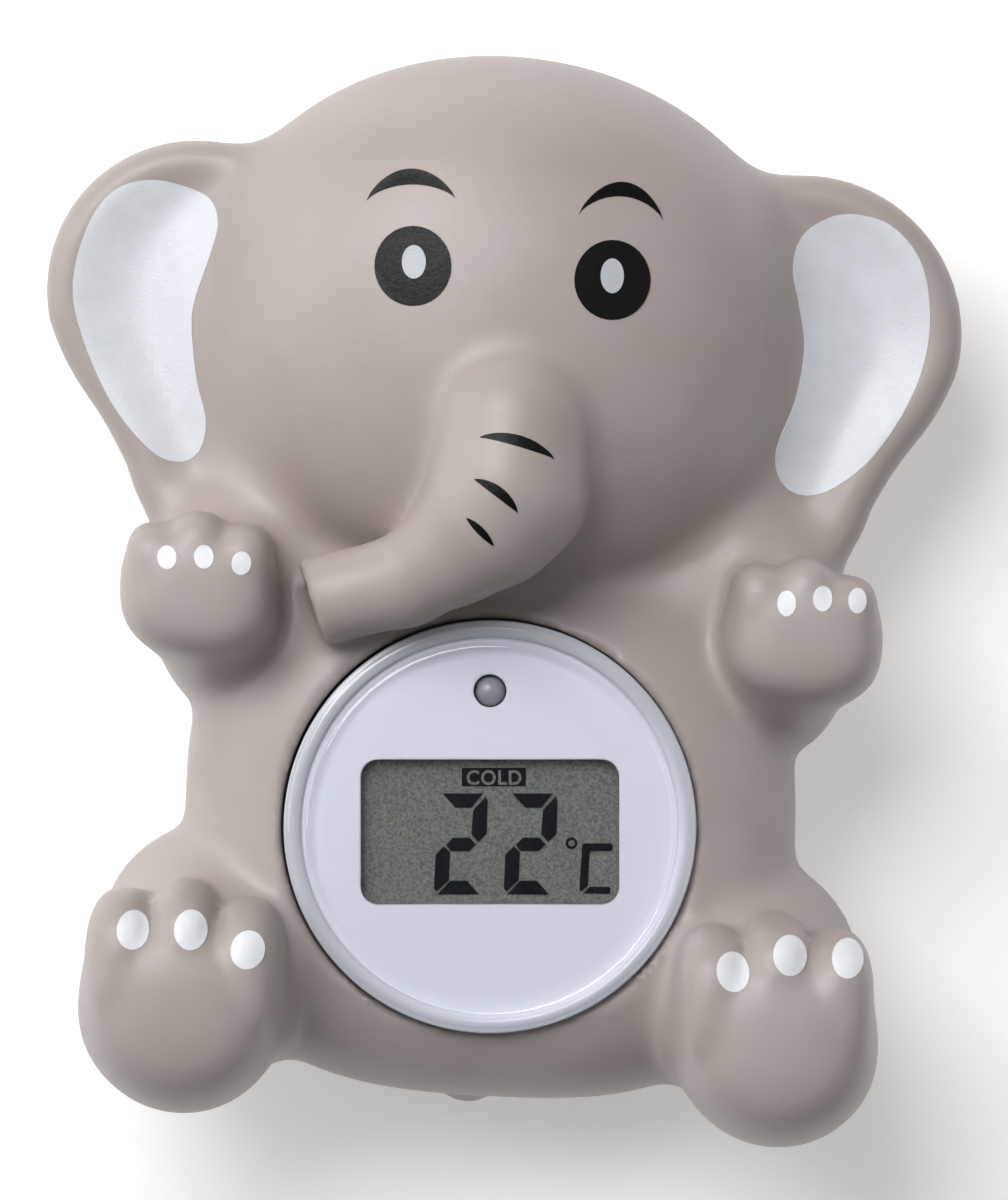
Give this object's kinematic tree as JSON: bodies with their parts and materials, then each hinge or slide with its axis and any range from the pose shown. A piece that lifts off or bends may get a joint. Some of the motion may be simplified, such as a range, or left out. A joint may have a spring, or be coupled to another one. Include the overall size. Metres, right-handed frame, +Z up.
{
  "type": "baby bath thermometer",
  "caption": "Soft elephant-shaped float lying on its back, with a round sealed digital capsule push-fitted in its belly.",
  "frame": {"origin": "on the resting plane, under the middle of the elephant's bounding box", "axes": "+X to the right of someone who reads the display, +Y to the top of the head, +Z up out of the display"},
  "size_m": [0.0872, 0.1012, 0.0405],
  "materials": {
    "soft_grey_vinyl": "matte soft vinyl with a fine grain",
    "clear_plastic": "clear, polished",
    "white_printed_plastic": "smooth pale lavender white",
    "display_glass": "grey-green display",
    "white_plastic": "satin moulded",
    "conductive_rubber": "matte",
    "green_board": "satin lacquer",
    "black_resin": "smooth",
    "smoky_resin": "smooth, smoky",
    "stainless_steel": "drawn",
    "glass_bead": "glossy",
    "cell_steel": "plated",
    "plated_spring": "nickel plated",
    "seal_silicone": "matte",
    "screw_steel": "stainless"
  },
  "bodies": {
    "root": {"elephant_body": "soft_grey_vinyl", "clear_cover": "clear_plastic", "dial_plate": "white_printed_plastic", "lcd_panel": "display_glass", "lcd_carrier": "white_plastic", "contact_strip": "conductive_rubber", "circuit_board": "green_board", "chip_blob": "black_resin", "indicator_led": "smoky_resin", "sensor_cap": "stainless_steel", "thermistor": "glass_bead", "coin_cell": "cell_steel", "cell_contact_positive": "plated_spring", "cell_contact_negative": "plated_spring", "rear_housing": "white_plastic", "housing_seal": "seal_silicone", "door_seal": "seal_silicone", "battery_door": "white_plastic", "door_screw_1": "screw_steel", "door_screw_2": "screw_steel", "door_screw_3": "screw_steel", "board_screw_1": "screw_steel", "board_screw_2": "screw_steel", "board_screw_3": "screw_steel"}
  },
  "joints": []
}
